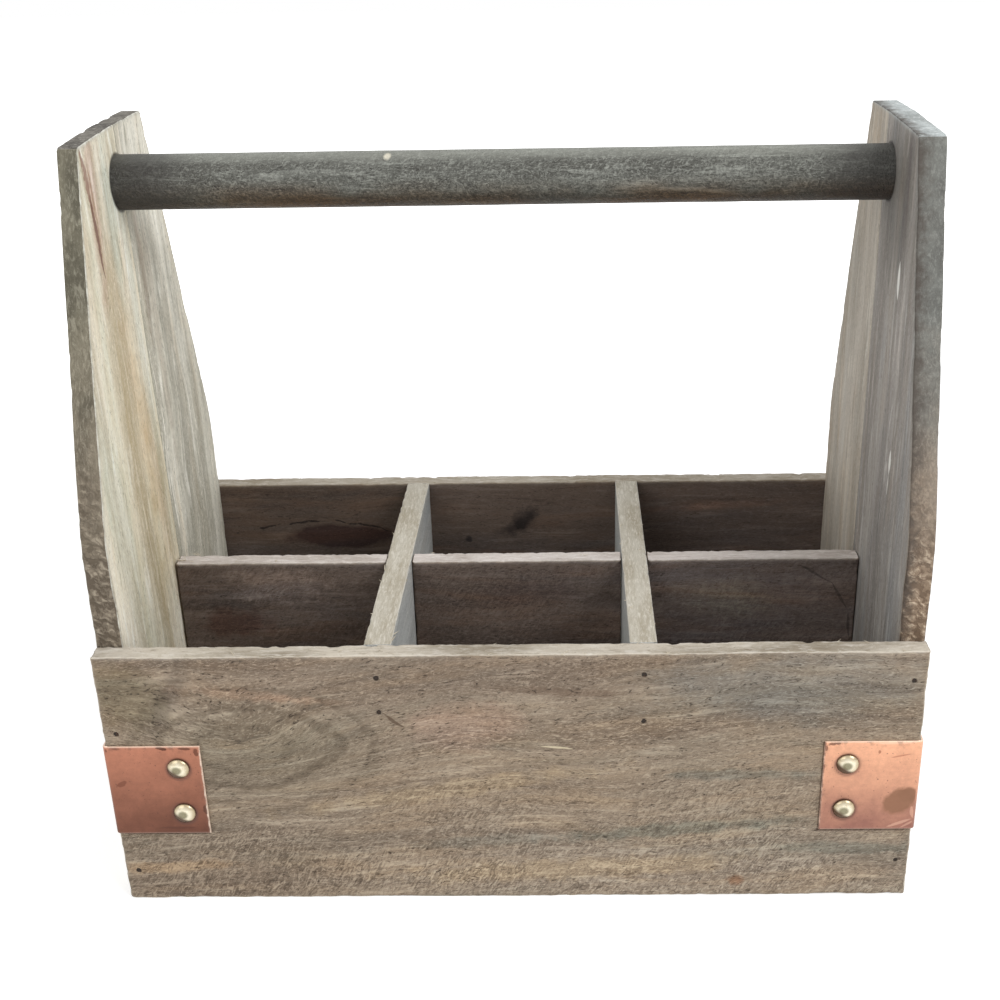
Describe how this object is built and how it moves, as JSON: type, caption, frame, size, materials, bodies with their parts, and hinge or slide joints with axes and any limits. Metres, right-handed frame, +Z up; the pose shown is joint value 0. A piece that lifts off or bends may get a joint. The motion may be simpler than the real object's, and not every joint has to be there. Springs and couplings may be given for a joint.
{
  "type": "bottle caddy",
  "caption": "Wooden carrying caddy with bottle compartments between two tall tapered end boards, a round rod handle, bent copper corner straps and domed nails.",
  "frame": {"origin": "middle of the underside of the box, on the surface that it stands on", "axes": "+X along the box and its rod handle, to the right as seen from the front; +Y from front to back; +Z up"},
  "size_m": [0.347, 0.199, 0.3185],
  "materials": {
    "panel_wood": "weathered, open grain, grey-brown",
    "inner_wood": "raw and dark",
    "left_front_wood": "weathered, pale ochre",
    "left_back_wood": "weathered, grey-green",
    "right_front_wood": "weathered, grey",
    "right_back_wood": "weathered, warm grey",
    "divider_wood": "sawn and lightly limed",
    "long_divider_wood": "sawn and lightly limed",
    "rod_wood": "dark stained, worn",
    "screw_steel": "dull",
    "brad_steel": "dark and dull",
    "strap_copper": "aged copper sheet, brushed",
    "nail_brass": "polished, pale"
  },
  "bodies": {
    "root": {"front_panel": "panel_wood", "back_panel": "panel_wood", "floor_board": "inner_wood", "left_end_front_plank": "left_front_wood", "left_end_back_plank": "left_back_wood", "right_end_front_plank": "right_front_wood", "right_end_back_plank": "right_back_wood", "left_divider": "divider_wood", "right_divider": "divider_wood", "long_divider": "long_divider_wood", "handle_rod": "rod_wood", "left_handle_screw": "screw_steel", "right_handle_screw": "screw_steel", "front_brads": "brad_steel", "back_brads": "brad_steel", "left_end_brads": "brad_steel", "right_end_brads": "brad_steel", "floor_brads": "brad_steel", "front_left_strap": "strap_copper", "front_left_strap_nails": "nail_brass", "front_right_strap": "strap_copper", "front_right_strap_nails": "nail_brass", "back_left_strap": "strap_copper", "back_left_strap_nails": "nail_brass", "back_right_strap": "strap_copper", "back_right_strap_nails": "nail_brass"}
  },
  "joints": []
}
